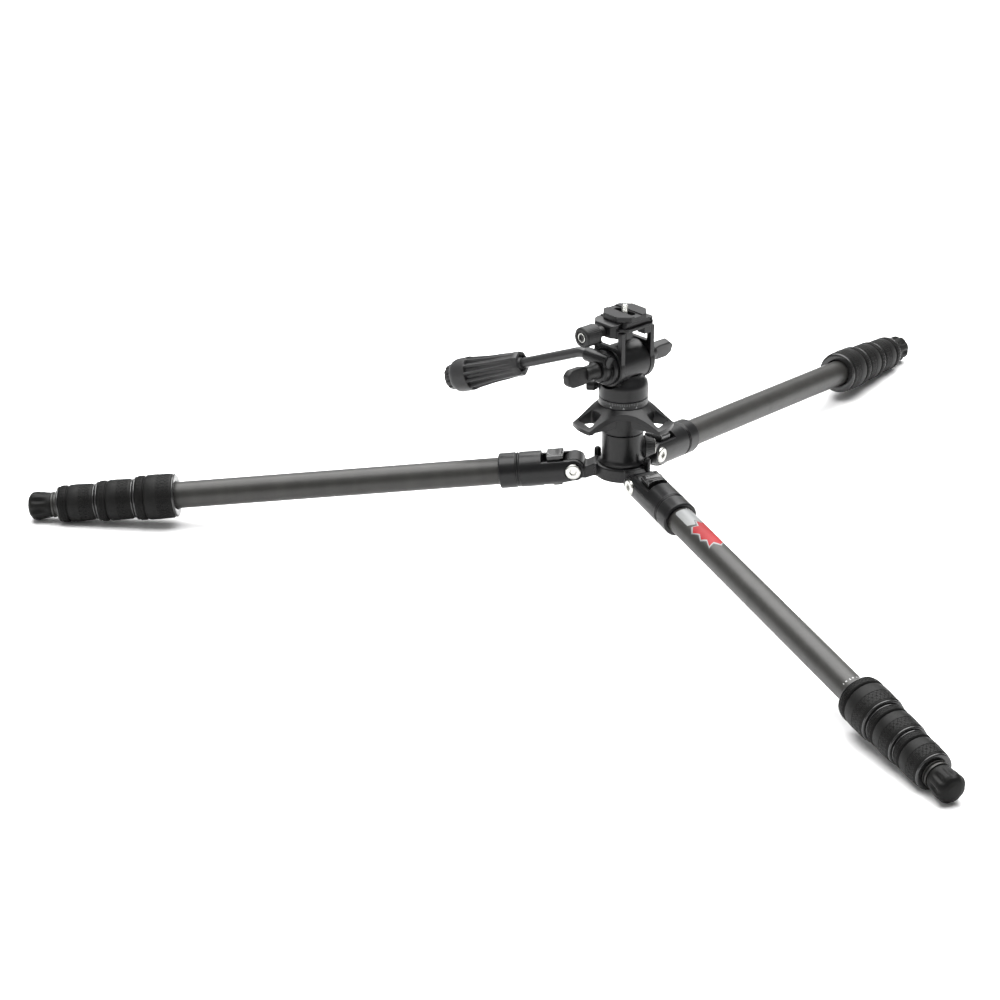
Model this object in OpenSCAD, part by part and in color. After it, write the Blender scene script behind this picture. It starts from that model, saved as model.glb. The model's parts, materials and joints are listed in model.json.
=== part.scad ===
// Compact travel tripod on widely spread legs, with a small pan and tilt video head.
// Lengths are in millimetres and +Z is up, along the column and the camera screw.
// X runs along the head's tilt axle, and -Y is the way that a camera's lens points.
// The origin is on the column's axis, where the camera screw leaves the rubber pads.

/* [Legs] */
// Outer diameter of the largest leg tube
tube_d = 26; // [25:0.5:26.5]
// Slope of the spread legs below level, in degrees
leg_drop = 6.56; // [5:0.1:9]
// Radius of the circle of leg pivots
pivot_r = 45.9; // [45.5:0.1:49]
// Direction of the first leg, in degrees from +X
first_leg_turn = 133.6; // [100:0.2:160]
// Distance from a leg's pivot to the first twist lock
first_lock_at = 387; // [360:1:400]
// Outer diameter of the first twist lock's rubber sleeve
lock_d = 44; // [42:0.5:45]
// Width of a finger tab that locks a leg's angle
tab_w = 19.6; // [17:0.2:19.6]

/* [Column] */
// Outer diameter of the column's sleeve
sleeve_d = 39.6; // [38.6:0.2:41]
// Outer diameter of the sliding column
column_d = 28; // [26:0.5:28]
// Reach of the strap lugs from the column's axis
lug_reach = 49; // [46:0.5:52]
// Direction of the first strap lug, in degrees from +X
first_lug_turn = 168; // [160:1:176]

/* [Head] */
// Outer diameter of the pan base
pan_d = 47; // [46:0.5:48]
// Diameter of the tilt drum
drum_d = 38; // [36:0.5:38]
// Height of the tilt axle above the leg pivots
tilt_h = 108; // [108:0.5:112]
// Side of the square quick-release plate
plate_w = 38; // [37:0.5:38.5]
// Diameter of the camera screw's thread
screw_d = 6.35; // [6:0.05:6.5]

/* [Pan handle] */
// Diameter of the handle's tube
handle_d = 10; // [9:0.5:10]
// How far the handle turns out sideways, in degrees
handle_out = 19.6; // [10:0.2:30]
// How far the handle droops below level, in degrees
handle_droop = 20.5; // [10:0.5:30]
// Length of bare tube between the bend and the grip
handle_bare = 60; // [50:1:80]

/* [Hidden] */
$fn = 64;
LEGS = ["a", "b", "c"];
LEG_PARTS = ["fork", "tab", "tube_1", "lock_1", "grip_1", "tube_2", "lock_2", "grip_2",
             "tube_3", "lock_3", "grip_3", "tube_4", "foot"];
HEAD_PARTS = ["spider", "pivot_bolts", "column_sleeve", "column_knob", "lug_plate", "pan_ring",
              "pan_base", "pan_knob", "tilt_drum", "yoke", "clamp_body", "clamp_jaw", "clamp_knob",
              "quick_plate", "plate_pads", "camera_screw", "tilt_knob", "handle_knob",
              "handle_bracket", "handle_tube", "handle_grip"];

black = [0.045, 0.045, 0.048];
tube_grey = [0.16, 0.155, 0.15];
rubber = [0.075, 0.075, 0.075];
steel = [0.78, 0.78, 0.77];

glue = 0.05;          // gap round a piece that is fixed in another
running = 0.06;       // radial gap of a shaft that turns in a bore
clear = 0.3;          // gap between pieces that pass each other

// Legs, measured along a leg from its pivot
tube_wall = 1.3;
tube_step = 1.85;
tube_r = [for (i = [0:3]) tube_d / 2 - i * tube_step];
lock_len = [40.5, 37.5, 38.5];
lock_gap = 0.5;
lock_at = [first_lock_at, first_lock_at + lock_len[0] + lock_gap,
           first_lock_at + lock_len[0] + lock_len[1] + 2 * lock_gap];
grip_r = [lock_d / 2, lock_d / 2 - 2, lock_d / 2 - 3.8];
lock_seat = 20;       // how far a tube reaches into its own lock
section_top = [36.2, 52, 60, 68];
foot_at = lock_at[2] + lock_len[2] + 6;
foot_stub = 12;
foot_profile = [[11.4, 0], [12.2, 1.6], [12.6, 6], [13.5, 12], [13.9, 15.5], [13.7, 18.5],
                [12.4, 21], [10, 22.8], [6.5, 23.9], [0, 24.2]];

// Leg hinges
fork_r = 17;
gap_half = tab_w / 2 + clear;
hump_r = 11;
pocket_end = 30;
socket_at = 36;
fork_end = 71.3;
bolt_r = 4;
bolt_head_r = 7.5;
bolt_face = 15;       // flat that a bolt's head faces, from the leg's middle plane
bolt_head_t = 2.5;

// Column and lug plate, measured up from the leg pivots
ring_r = 26;
ring_low = -6.5;
ring_top = 7;
post_r = 3.4;
post_top = 15.6;
sleeve_r = sleeve_d / 2;
column_r = column_d / 2;
sleeve_top = 38.6;
lug_low = 39;
lug_top = 67;
stud_r = 4.76;        // a 3/8 inch camera stud
knob_h = 20;
knob_turn = -35;

// Head, measured up from the leg pivots
pan_r = pan_d / 2;
pan_gap_h = 74.4;
pan_shoulder_h = 86;
boss_r = 12;
boss_top = 87;
drum_r = drum_d / 2;
drum_half = 16.1;
plate_in = 16.5;      // inner face of a yoke cheek
cheek_t = 4.8;
disc_t = 6;
disc_r = 19.5;
swing_r = 21.3;       // room in the pan base for the yoke's cheeks
clamp_low = 38.5;     // heights from here on are above the tilt axle
floor_h = 40.5;
neck_h = 45.2;
deck_low = 45.6;
deck_top = 49.8;
pad_top = 51;
jaw_y = [-13, 18];
clamp_screw_h = 36.5;
clamp_screw_y = 2.5;
clamp_screw_r = 2.5;
top_h = tilt_h + pad_top;

// Handle
socket_x = -29.8;
socket_r = 6.9;
socket_h = 9.6;
socket_end_y = 21;
bend_r = 25;
bend_lap = 1;         // degrees by which the bend reaches into the straight tubes
handle_dir = [-sin(handle_out) * cos(handle_droop), cos(handle_out) * cos(handle_droop),
              -sin(handle_droop)];
bend = acos(handle_dir[1]);
bend_roll = atan2(-handle_dir[2], handle_dir[0]);
grip_len = 84;
tube_in_grip = 68;
grip_profile = [[9, 0], [12.3, 1.5], [12.6, 8], [12.4, 13], [13.2, 32], [15, 50], [16.4, 58],
                [16.4, 72], [14.6, 76], [12.4, 76.6], [12.2, 82.4], [10.8, 84]];

// ---- outlines and placing ----

function unit(v) = v / norm(v);

// The arc of radius r that rounds corner b of the outline a, b, c
function corner(a, b, c, r, n) =
    let (u = unit(a - b), v = unit(c - b), half = acos(u * v) / 2,
         centre = b + unit(u + v) * r / sin(half),
         p = b + u * r / tan(half) - centre, q = b + v * r / tan(half) - centre,
         start = atan2(p[1], p[0]), turn = atan2(p[0] * q[1] - p[1] * q[0], p * q))
    [for (i = [0:n]) centre + r * [cos(start + turn * i / n), sin(start + turn * i / n)]];

function rounded(points, r, n = 4) =
    let (count = len(points))
    [for (i = [0:count - 1])
        each corner(points[(i + count - 1) % count], points[i], points[(i + 1) % count], r, n)];

// A square of side w with its corners cut back by c
function cut_square(w, c) =
    [[w / 2, c - w / 2], [w / 2, w / 2 - c], [w / 2 - c, w / 2], [c - w / 2, w / 2],
     [-w / 2, w / 2 - c], [-w / 2, c - w / 2], [c - w / 2, -w / 2], [w / 2 - c, -w / 2]];

// Heights above the leg pivots become heights below the camera screw's base
module stand() translate([0, 0, -top_h]) children();
module at_tilt() stand() translate([0, 0, tilt_h]) children();

// A leg's own frame: X runs down the leg from its pivot
module on_leg(i)
    stand() rotate([0, 0, first_leg_turn + 240 * i]) translate([pivot_r, 0, 0])
    rotate([0, leg_drop, 0]) children();

// Turns +Z to +X, +Z to -X, or +Z to +Y
module to_x() rotate([0, 90, 0]) children();
module to_back_x() rotate([0, -90, 0]) children();
module to_y() rotate([-90, 0, 0]) children();

// Extrudes an outline drawn in Y and Z along X, from x0, by a length
module along_x(x0, length) translate([x0, 0, 0]) rotate([90, 0, 90]) linear_extrude(length) children();

// Extrudes an outline drawn in X and Z along Y, from y0, by a length
module along_y(y0, length) translate([0, y0 + length, 0]) rotate([90, 0, 0]) linear_extrude(length) children();

module bar(low, high) translate(low) cube(high - low);

// ---- spider and leg hinges ----

module spider() {
    color(black) stand() difference() {
        union() {
            rotate_extrude() polygon([[15, ring_low + 1], [ring_r - 1, ring_low], [ring_r, ring_low + 1],
                                      [ring_r, ring_top - 1], [ring_r - 1, ring_top], [15, ring_top]]);
            for (i = [0:2]) rotate([0, 0, first_leg_turn + 240 * i]) {
                along_y(-tab_w / 2, tab_w)
                    polygon([[18, 6.6], [27, 6.6], [33, 3.7], [pivot_r, 3.7], [pivot_r, -9],
                             [34, -9], [27, -6.2], [18, -6.2]]);
                translate([pivot_r, -tab_w / 2, 0]) to_y() cylinder(r = hump_r, h = tab_w);
            }
            for (turn = [106, -74]) rotate([0, 0, turn]) translate([ring_r + 1, 0, 0]) {
                translate([0, 0, -6.2]) cylinder(r = post_r, h = post_top - post_r + 6.2);
                translate([0, 0, post_top - post_r]) sphere(r = post_r);
            }
        }
        translate([0, 0, -20]) cylinder(r = sleeve_r - 2 + glue, h = 40);
        for (i = [0:2]) rotate([0, 0, first_leg_turn + 240 * i])
            translate([pivot_r, -20, 0]) to_y() cylinder(r = bolt_r + glue, h = 40);
    }
}

module pivot_bolt() {
    face = bolt_face + clear;
    to_y() difference() {
        rotate_extrude()
            polygon([[0, -face - bolt_head_t], [bolt_head_r - 1, -face - bolt_head_t],
                     [bolt_head_r, -face - bolt_head_t + 1], [bolt_head_r, -face], [bolt_r, -face],
                     [bolt_r, face], [bolt_head_r, face], [bolt_head_r, face + bolt_head_t - 1],
                     [bolt_head_r - 1, face + bolt_head_t], [0, face + bolt_head_t]]);
        for (side = [-1, 1]) translate([0, 0, side * (face + bolt_head_t) - 1.6])
            cylinder(r = 3.2, h = 3.2, $fn = 6);
    }
}

module pivot_bolts() {
    color(steel) for (i = [0:2]) on_leg(i) pivot_bolt();
}

// ---- one leg ----

module leg_fork() {
    color(black) difference() {
        to_x() rotate_extrude()
            polygon([[0, -12], [fork_r, -12], [fork_r, 51], [16.3, 51.5], [16.3, 52.3], [fork_r, 52.8],
                     [fork_r, 53.4], [16.3, 53.9], [16.3, 54.7], [fork_r, 55.2], [fork_r, fork_end - 1],
                     [fork_r - 1, fork_end], [tube_r[0] + glue, fork_end], [tube_r[0] + glue, socket_at],
                     [0, socket_at]]);
        bar([-20, -gap_half, -20], [pocket_end, gap_half, 20]);
        along_y(-20, 40) difference() {
            translate([-20, -20]) square([20 + pocket_end, 40]);
            circle(r = 10.5);
            polygon([[0, 10.2], [pocket_end + 1, 10.2], [pocket_end + 1, -17], [22, -14.6], [0, -10.2]]);
        }
        translate([0, -20, 0]) to_y() cylinder(r = bolt_r + running, h = 40);
        for (side = [-1, 1]) translate([0, side * (bolt_face + 5) - 5, 0]) to_y()
            cylinder(r = bolt_head_r + 0.8, h = 10);
    }
}

module leg_tab() {
    inner = hump_r + 0.7;
    outer = pocket_end - 5.6;
    color(black) intersection() {
        along_y(-tab_w / 2, tab_w)
            polygon([[inner, inner], [inner, -15], [12.6, -17.7], [20.2, -17.7], [20.8, -12.4],
                     [outer, -12.4], [outer, 16.2], [outer - 0.6, 17.2], [22.4, 17], [20.6, 16.1],
                     [18.4, 15.5], [16, 15.5], [13.8, 16.1], [12, 16.6], [10.4, 16.2], [9, 14.8],
                     [8.6, 13.4], [8.6, inner]]);
        to_x() cylinder(r = 17.6, h = 60);
    }
}

module leg_tube(n) {
    low = section_top[n];
    high = lock_at[n] + lock_seat;
    color(tube_grey) to_x() difference() {
        translate([0, 0, low]) cylinder(r = tube_r[n], h = high - low);
        translate([0, 0, low - 1]) cylinder(r = tube_r[n] - tube_wall, h = high - low + 2);
    }
}

// The last section ends in a plug and a flange that carry the foot
module last_tube() {
    flange = foot_at - 5.6;
    color(tube_grey) to_x() rotate_extrude()
        polygon([[tube_r[3] - tube_wall, section_top[3]], [tube_r[3], section_top[3]],
                 [tube_r[3], flange], [12, flange], [12.6, flange + 0.6], [12.6, foot_at - glue],
                 [tube_r[3], foot_at - glue], [tube_r[3], foot_at + foot_stub], [0, foot_at + foot_stub],
                 [0, foot_at], [tube_r[3] - tube_wall, foot_at]]);
}

// A twist lock's collar turns on its own tube and closes on the next one
module lock_collar(n) {
    len = lock_len[n];
    core = grip_r[n] - 2.6;
    rim = grip_r[n] - 0.9;
    color(black) to_x() translate([0, 0, lock_at[n]]) rotate_extrude()
        polygon([[tube_r[n] + 0.35, 0], [rim - 1, 0], [rim, 0.8], [rim, 2], [core, 2],
                 [core, len - 2], [rim, len - 2], [rim, len - 0.8], [rim - 1, len],
                 [tube_r[n + 1] + 0.35, len], [tube_r[n + 1] + 0.35, lock_seat + 0.6],
                 [tube_r[n] + 0.35, lock_seat + 0.6]]);
}

// A rubber sleeve: a wide barrel-shaped band and a narrow band beside it. The third leg's are turned round
module lock_grip(n, flip = false) {
    len = lock_len[n];
    core = grip_r[n] - 2.6 + glue;
    low = 2 + glue;
    high = len - 2 - glue;
    seam = high - 9;
    r = grip_r[n];
    color(rubber) to_x() translate([0, 0, lock_at[n] + (flip ? len : 0)]) mirror([0, 0, flip ? 1 : 0])
        rotate_extrude()
        polygon([[core, low], [r - 1.1, low], [r - 0.4, low + 2.5], [r, (low + seam) / 2],
                 [r - 0.4, seam - 2.5], [r - 1.1, seam], [r - 1.8, seam + 0.7], [r - 1.1, seam + 1.4],
                 [r - 0.4, seam + 3], [r - 0.4, high - 2], [r - 1.1, high], [core, high]]);
}

module foot() {
    bore = tube_r[3] + glue;
    color(rubber) to_x() translate([0, 0, foot_at]) rotate_extrude()
        polygon(concat([[bore, 0]], foot_profile, [[0, foot_stub + glue], [bore, foot_stub + glue]]));
}

// ---- column ----

module column_sleeve() {
    color(black) stand() difference() {
        union() {
            rotate_extrude()
                polygon([[10, ring_low + 0.3], [sleeve_r - 2, ring_low + 0.3],
                         [sleeve_r - 2, ring_top + glue], [22.6, ring_top + glue],
                         [22.6, ring_top + 1.4], [21.4, 9.6], [20.3, 11.2], [sleeve_r, 13.5],
                         [sleeve_r, sleeve_top - 0.8], [sleeve_r - 0.8, sleeve_top], [10, sleeve_top]]);
            rotate([0, 0, knob_turn]) translate([16, 0, knob_h]) to_x()
                cylinder(r1 = 11.1, r2 = 10.9, h = 4.6);
        }
        translate([0, 0, -20]) cylinder(r = column_r + 0.2, h = 80);
        rotate([0, 0, knob_turn]) translate([20.3, 0, knob_h]) to_x() cylinder(r = 11.4, h = 6);
        rotate([0, 0, knob_turn]) translate([0, 0, knob_h]) to_x() cylinder(r = 3 + running, h = 30);
    }
}

module column_knob() {
    tip = column_r + 0.4;
    back = 20.6;
    end = 31.6;
    color(black) stand() rotate([0, 0, knob_turn]) translate([0, 0, knob_h]) to_x() rotate_extrude()
        polygon([[0, tip], [3, tip], [3, back], [10.2, back], [10.9, back + 0.7], [7, end - 0.6],
                 [6.4, end], [4.6, end], [4.2, end - 0.8], [0, end - 0.8]]);
}

// The sides of the lug plate between its lugs are hollowed by wide arcs
module lug_outline() {
    difference() {
        circle(r = lug_reach);
        for (i = [0:2]) rotate(first_lug_turn + 60 + 120 * i) translate([89.7, 0]) circle(r = 62.7);
    }
}

// One lug's thick rim, drawn along X
module lug_rim() {
    intersection() {
        rotate_extrude()
            polygon([[21, 50], [24, 47.9], [45, 47.8], [45, 50], [24.5, 63], [21, 63]]);
        translate([12, -14.4, 40]) cube([40, 28.8, 40]);
    }
}

module lug_window() {
    linear_extrude(60) polygon(rounded([[29, -8], [43.4, -11.5], [43.4, 11.5], [29, 8]], 2.4));
}

// The lug plate and the short column under it, with the stud that carries the head
module lug_plate() {
    color(black) stand() {
        difference() {
            union() {
                intersection() {
                    rotate_extrude()
                        polygon([[10, 60], [22, 61.6], [44, 47.4], [44.6, 46.8], [52, 46.8], [52, 50.6],
                                 [47.5, 51], [24.5, 65.8], [23.2, lug_top], [10, lug_top]]);
                    translate([0, 0, 40]) linear_extrude(40) lug_outline();
                }
                for (i = [0:2]) rotate(first_lug_turn + 120 * i) lug_rim();
                rotate_extrude()
                    polygon([[0, lug_low], [20.4, lug_low], [21.3, lug_low + 1], [21.8, 46], [21.8, 62],
                             [20, 66.9], [stud_r, 66.9], [stud_r, lug_top + 9], [0, lug_top + 9]]);
            }
            for (i = [0:2]) rotate(first_lug_turn + 120 * i) translate([0, 0, 30]) lug_window();
            translate([0, 0, lug_low - 1]) cylinder(r = column_r + glue, h = 8 + glue);
        }
        difference() {
            translate([0, 0, ring_low + 0.5]) cylinder(r = column_r, h = 46 - ring_low - 0.5);
            translate([0, 0, ring_low - 1]) cylinder(r = column_r - 1.6, h = 60);
        }
    }
}

// ---- head ----

module pan_ring() {
    low = lug_top + glue;
    color(black) stand() rotate_extrude()
        polygon([[stud_r + glue, low], [pan_r - 0.6, low], [pan_r, low + 0.6], [pan_r, pan_gap_h - 0.3],
                 [pan_r - 0.3, pan_gap_h], [boss_r, pan_gap_h], [boss_r, boss_top], [0, boss_top],
                 [0, lug_top + 9.2], [stud_r + glue, lug_top + 9.2]]);
}

module pan_base() {
    low = pan_gap_h + clear;
    bore = boss_r + running;
    color(black) stand() difference() {
        rotate_extrude()
            polygon([[bore, low], [pan_r - 0.3, low], [pan_r, low + 0.3], [pan_r, pan_shoulder_h],
                     [pan_r - 0.4, 88.2], [pan_r - 1.4, 90.4], [pan_r - 2.9, 92.6], [pan_r - 4.4, 94.8],
                     [pan_r - 5.3, 98], [0, 98], [0, boss_top + 0.4], [bore, boss_top + 0.4]]);
        translate([-40, 0, tilt_h]) to_x() cylinder(r = drum_r + glue, h = 80);
        for (side = [-1, 1]) translate([side * 28 - 12, 0, tilt_h]) to_x()
            cylinder(r = swing_r, h = 24);
        rotate([0, 0, 130]) translate([0, 0, 82.5]) to_x() cylinder(r = 2.5 + running, h = 40);
    }
}

module pan_knob() {
    tip = boss_r + 0.4;
    back = pan_r + 0.6;
    end = back + 11;
    color(black) stand() rotate([0, 0, 130]) translate([0, 0, 82.5]) to_x() rotate_extrude()
        polygon([[0, tip], [2.5, tip], [2.5, back], [3.6, back], [4.2, back + 2], [5.4, back + 3],
                 [5.4, end - 1], [4.4, end], [0, end]]);
}

// The drum is fixed on the pan base, and the axle runs through it from knob to knob
module tilt_drum() {
    color(black) at_tilt() difference() {
        translate([-drum_half, 0, 0]) to_x() cylinder(r = drum_r, h = 2 * drum_half);
        translate([-30, 0, 0]) to_x() cylinder(r = bolt_r + glue, h = 60);
    }
    color(steel) at_tilt() translate([-52, 0, 0]) to_x() cylinder(r = bolt_r, h = 98);
}

module yoke_cheek() {
    difference() {
        union() {
            circle(r = disc_r);
            translate([-18.5, 0]) square([37, 36.8]);
        }
        polygon([[-13.2, 40], [-13.2, 21.5], [-12, 20.3], [12, 20.3], [13.2, 21.5], [13.2, 40]]);
    }
}

// One corner block, drawn for +X and -Y
module yoke_block() {
    translate([0, 0, 30.4]) linear_extrude(clamp_low - 30.4 - glue)
        polygon([[7.6, -18.9], [15.8, -18.9], [21.9, -11.8], [21.9, -9.4], [7.6, -9.4]]);
}

module yoke() {
    color(black) at_tilt() difference() {
        union() {
            for (side = [0, 1]) mirror([side, 0, 0]) {
                along_x(plate_in, cheek_t) yoke_cheek();
                along_x(plate_in + 0.1, disc_t - 0.1) circle(r = disc_r - 0.4);
                for (end = [0, 1]) mirror([0, end, 0]) yoke_block();
            }
            for (side = [-1, 1]) bar([-12, side * 14 - 4.4, 36], [12, side * 14 + 4.4, clamp_low - glue]);
        }
        translate([-40, 0, 0]) to_x() cylinder(r = bolt_r + running, h = 80);
    }
}

// The clamp's bed and its fixed jaw, with the nut block for the clamp screw below
module clamp_body() {
    color(black) at_tilt() difference() {
        union() {
            translate([0, 0, clamp_low]) linear_extrude(floor_h - clamp_low)
                polygon(cut_square(43.4, 6));
            intersection() {
                along_y(-18.7, 37.4)
                    polygon([[17.4, floor_h - 0.2], [17.4, 41], [14.9, neck_h - 0.2], [15.2, neck_h],
                             [20.6, neck_h], [21.5, 44.4], [21.5, floor_h - 0.2]]);
                linear_extrude(60) polygon(cut_square(43, 6));
            }
            bar([-14, clamp_screw_y - 5, 32], [14, clamp_screw_y + 5, clamp_low + 0.1]);
        }
        translate([-20, clamp_screw_y, clamp_screw_h - 0.5]) to_x()
            cylinder(r = clamp_screw_r + running, h = 30);
    }
}

module clamp_jaw() {
    color(black) at_tilt() difference() {
        intersection() {
            along_y(jaw_y[0], jaw_y[1] - jaw_y[0])
                polygon([[-14.9, neck_h - 0.2], [-17.4, 41], [-17.4, floor_h + clear],
                         [-22.2, floor_h + clear], [-22.2, 31.2], [-26.2, 31.2], [-26.2, 41.6],
                         [-24.8, 43.2], [-18, neck_h]]);
            linear_extrude(60) polygon([[-10, -13], [-21.4, -13], [-26.3, -7.5], [-26.3, 13], [-21.4, 18],
                                        [-10, 18]]);
        }
        translate([-40, clamp_screw_y, clamp_screw_h - 0.5]) to_x()
            cylinder(r = clamp_screw_r + running, h = 40);
    }
}

module clamp_knob() {
    r = 10;
    end = 53.5;
    color(black) at_tilt() translate([0, clamp_screw_y, clamp_screw_h - 0.5]) to_back_x() rotate_extrude()
        polygon([[0, 9], [clamp_screw_r, 9], [clamp_screw_r, 26.6], [5, 26.6], [5, 35], [8.6, 35], [r, 36.2],
                 [r, end - 1.2], [r - 1.2, end], [6, end], [6, end - 1.2], [3.4, end - 1.2],
                 [3.4, end - 0.2], [2.2, end - 0.2], [2.2, end - 3], [0, end - 3]]);
}

// A dovetailed plate that slides along Y in the clamp, with a slot for its screw
module quick_plate() {
    foot_half = 17.1;
    neck_half = 14.6;
    color(black) at_tilt() difference() {
        union() {
            translate([0, 0, deck_low]) linear_extrude(deck_top - deck_low)
                polygon(cut_square(plate_w, 9.6));
            along_y(-18.2, 36.4)
                polygon([[foot_half, floor_h + 0.15], [foot_half, 41], [neck_half, neck_h],
                         [neck_half, deck_low + 0.1], [-neck_half, deck_low + 0.1], [-neck_half, neck_h],
                         [-foot_half, 41], [-foot_half, floor_h + 0.15]]);
        }
        translate([0, 0, 44]) linear_extrude(20)
            polygon(rounded([[3.6, -12.5], [3.6, 12.5], [-3.6, 12.5], [-3.6, -12.5]], 3.2));
        translate([0, 0, 35]) linear_extrude(9.1)
            polygon(rounded([[7.4, -14.5], [7.4, 14.5], [-7.4, 14.5], [-7.4, -14.5]], 3));
    }
}

module plate_pads() {
    inner = 5;
    outer = plate_w / 2 - 0.15;
    color(rubber) at_tilt() translate([0, 0, deck_top + glue]) linear_extrude(pad_top - deck_top - glue)
        for (side = [-1, 1])
            polygon([[side * inner, -outer + 0.6], [side * (outer - 9.2), -outer + 0.6],
                     [side * outer, -9], [side * outer, 9], [side * (outer - 9.2), outer - 0.6],
                     [side * inner, outer - 0.6]]);
}

module camera_screw() {
    r = screw_d / 2;
    color(steel) at_tilt() difference() {
        rotate_extrude()
            polygon([[0, 41], [6.6, 41], [6.6, 43.7], [r - 0.3, 43.7], [r - 0.3, pad_top], [r, pad_top],
                     [r, pad_top + 5.2], [r - 0.8, pad_top + 6], [0, pad_top + 6]]);
        translate([-0.6, -7, 40]) cube([1.2, 14, 2]);
    }
}

// A wing knob along +Z: a hub that tapers from its base, and a flat wing beyond it
module wing_knob(base_r, hub_r, hub_end, end, wing_half, wing_t, depth) {
    difference() {
        union() {
            rotate_extrude()
                polygon([[0, 0], [base_r, 0], [base_r, 1.4], [hub_r, hub_end * 0.6], [hub_r, hub_end],
                         [hub_r - 1, hub_end + 1], [0, hub_end + 1]]);
            rotate([90, 0, 0]) translate([0, 0, -wing_t / 2]) linear_extrude(wing_t)
                polygon(rounded([[-hub_r + 1.5, hub_end - 4], [hub_r - 1.5, hub_end - 4],
                                 [wing_half, hub_end + 5], [wing_half, end - 5], [wing_half / 2, end],
                                 [-wing_half / 2, end], [-wing_half, end - 5],
                                 [-wing_half, hub_end + 5]], 1.4));
        }
        translate([0, 0, -1]) cylinder(r = bolt_r + running, h = depth + 1);
    }
}

module tilt_knob() {
    color(black) at_tilt() translate([plate_in + disc_t + clear, 0, 0]) to_x() rotate([0, 0, 18])
        wing_knob(16.5, 7.6, 14, 37.5, 8.6, 8.5, 24);
}

module handle_knob() {
    color(black) at_tilt() translate([-36.6, 0, 0]) to_back_x() rotate([0, 0, 10])
        wing_knob(8.4, 7.4, 14, 38, 8.6, 8.5, 16);
}

// The bracket clamps the handle's tube and turns on the tilt axle beside the yoke
module handle_bracket() {
    face = -plate_in - disc_t - clear;
    color(black) at_tilt() difference() {
        union() {
            translate([face, 0, 0]) to_back_x() rotate_extrude()
                polygon([[0, 0], [17, 0], [17, 3.4], [16, 4.4], [12.6, 4.4], [12.6, 11], [11, 13.2], [0, 13.2]]);
            translate([socket_x, -10.5, socket_h]) to_y() cylinder(r = socket_r, h = 29);
            translate([socket_x, -12.6, socket_h]) to_y() cylinder(r = 5.5, h = 3);
            bar([socket_x - 5.4, -9, 2], [socket_x + 5.4, 9, socket_h]);
        }
        translate([socket_x, -7.5, socket_h]) to_y() cylinder(r = handle_d / 2 + glue, h = 40);
        translate([-60, 0, 0]) to_x() cylinder(r = bolt_r + running, h = 60);
    }
}

// The frame of the straight part of the handle: +Z runs from the bend to the grip's end
module on_handle()
    at_tilt() translate([socket_x, socket_end_y, socket_h]) rotate([0, bend_roll, 0])
    translate([bend_r * (1 - cos(bend)), bend_r * sin(bend), 0]) rotate([0, 0, -bend]) to_y() children();

module handle_tube() {
    r = handle_d / 2;
    color(black) {
        at_tilt() translate([socket_x, -7.3, socket_h]) to_y() cylinder(r = r, h = socket_end_y + 7.3);
        at_tilt() translate([socket_x, socket_end_y, socket_h]) rotate([0, bend_roll, 0])
            translate([bend_r, 0, 0]) rotate([0, 0, 180 - bend - bend_lap])
            rotate_extrude(angle = bend + 2 * bend_lap) translate([bend_r, 0]) circle(r = r - 0.04);
        on_handle() cylinder(r = r, h = handle_bare + tube_in_grip);
    }
}

module handle_grip() {
    color(rubber) on_handle() translate([0, 0, handle_bare]) difference() {
        rotate_extrude() polygon(concat([[0, 0]], grip_profile, [[0, grip_len]]));
        translate([0, 0, -1]) cylinder(r = handle_d / 2 + glue, h = tube_in_grip + 1.2);
    }
}

spider();
pivot_bolts();
column_sleeve();
column_knob();
lug_plate();
pan_ring();
pan_base();
pan_knob();
tilt_drum();
yoke();
clamp_body();
clamp_jaw();
clamp_knob();
quick_plate();
plate_pads();
camera_screw();
tilt_knob();
handle_knob();
handle_bracket();
handle_tube();
handle_grip();

for (i = [0:2]) {
    leg = str("leg_", LEGS[i], "_");
    on_leg(i) leg_fork();
    on_leg(i) leg_tab();
    on_leg(i) last_tube();
    on_leg(i) foot();
    for (n = [0:2]) {
        on_leg(i) leg_tube(n);
        on_leg(i) lock_collar(n);
        on_leg(i) lock_grip(n, i == 2);
    }
}
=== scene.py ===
import json
import math

import bmesh
import bpy
from mathutils import Matrix, Vector


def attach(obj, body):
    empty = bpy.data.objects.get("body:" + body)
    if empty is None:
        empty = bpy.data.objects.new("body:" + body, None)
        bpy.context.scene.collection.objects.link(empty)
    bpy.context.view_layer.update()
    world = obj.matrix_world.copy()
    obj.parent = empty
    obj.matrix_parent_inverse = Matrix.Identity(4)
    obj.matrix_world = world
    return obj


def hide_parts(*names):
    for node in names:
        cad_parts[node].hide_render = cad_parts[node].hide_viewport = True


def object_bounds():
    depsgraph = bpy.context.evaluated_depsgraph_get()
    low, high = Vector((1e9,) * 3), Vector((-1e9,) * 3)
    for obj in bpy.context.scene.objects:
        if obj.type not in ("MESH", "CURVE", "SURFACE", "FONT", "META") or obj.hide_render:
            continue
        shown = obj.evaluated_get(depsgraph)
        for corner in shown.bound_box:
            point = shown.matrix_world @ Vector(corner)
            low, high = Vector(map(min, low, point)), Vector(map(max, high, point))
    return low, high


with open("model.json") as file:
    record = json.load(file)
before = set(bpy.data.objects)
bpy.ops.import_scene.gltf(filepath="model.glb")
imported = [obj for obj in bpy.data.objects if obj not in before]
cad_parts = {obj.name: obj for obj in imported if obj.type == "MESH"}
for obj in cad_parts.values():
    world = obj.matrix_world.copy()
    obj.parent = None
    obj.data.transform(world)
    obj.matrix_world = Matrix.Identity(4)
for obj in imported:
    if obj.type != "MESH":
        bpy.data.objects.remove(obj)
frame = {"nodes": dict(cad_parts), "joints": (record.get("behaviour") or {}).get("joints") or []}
cad_low, cad_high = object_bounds()

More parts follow.
